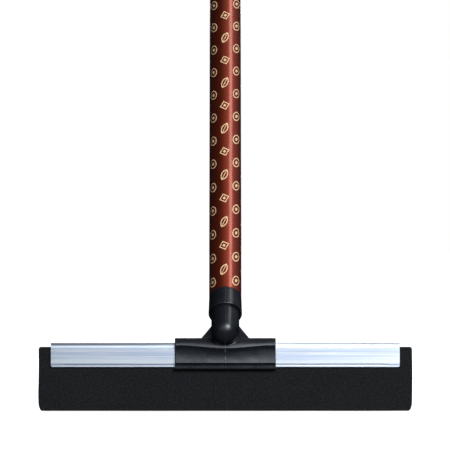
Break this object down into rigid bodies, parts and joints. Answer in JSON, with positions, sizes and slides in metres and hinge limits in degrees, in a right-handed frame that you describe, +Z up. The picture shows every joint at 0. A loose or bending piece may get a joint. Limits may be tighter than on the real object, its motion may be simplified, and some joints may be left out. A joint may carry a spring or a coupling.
{
  "type": "window cleaning squeegee",
  "caption": "Wide squeegee head with foam wiping strips in a crimped aluminium channel, held by a black saddle with a threaded socket for a long patterned handle that leans back",
  "frame": {"origin": "middle of the blade's bottom edge, midway between the two foam strips", "axes": "+X along the blade, +Z up, -Y is the front of the head; the handle leans back towards +Y at 45 degrees"},
  "size_m": [0.3, 0.867, 0.9202],
  "materials": {
    "black_moulding": "satin moulded polypropylene",
    "aluminium_channel": "fine extrusion lines, semi-bright",
    "black_foam": "closed-cell foam, matte",
    "spacer_plastic": "plain strip",
    "screw_steel": "zinc plated",
    "handle_steel": "thin welded tube",
    "printed_film": "satin-gloss printed film, red-brown with tan motifs",
    "black_ferrule": "moulded polypropylene",
    "black_cap": "moulded polypropylene"
  },
  "bodies": {
    "head": {"saddle_socket": "black_moulding", "blade_channel": "aluminium_channel", "front_foam_blade": "black_foam", "rear_foam_blade": "black_foam", "blade_spacer": "spacer_plastic", "saddle_screws": "screw_steel"},
    "handle_travel": {"handle_core_tube": "handle_steel"},
    "handle": {"handle_sleeve": "printed_film", "handle_ferrule": "black_ferrule", "hanging_cap": "black_cap"}
  },
  "joints": [
    {"name": "handle_advance", "type": "slide", "parent": "head", "child": "handle_travel", "axis": [0, 0.7071, 0.7071], "range_m": [0, 0.02]},
    {"name": "handle_unscrew", "type": "hinge", "parent": "handle_travel", "child": "handle", "pos_m": [0, -0.0085, 0.0646], "axis": [0, 0.7071, 0.7071], "range_deg": [0, 1440.4]}
  ],
  "couplings": [
    {"joint": "handle_unscrew", "follows": "handle_advance", "rad_per_m": 1256.6}
  ]
}
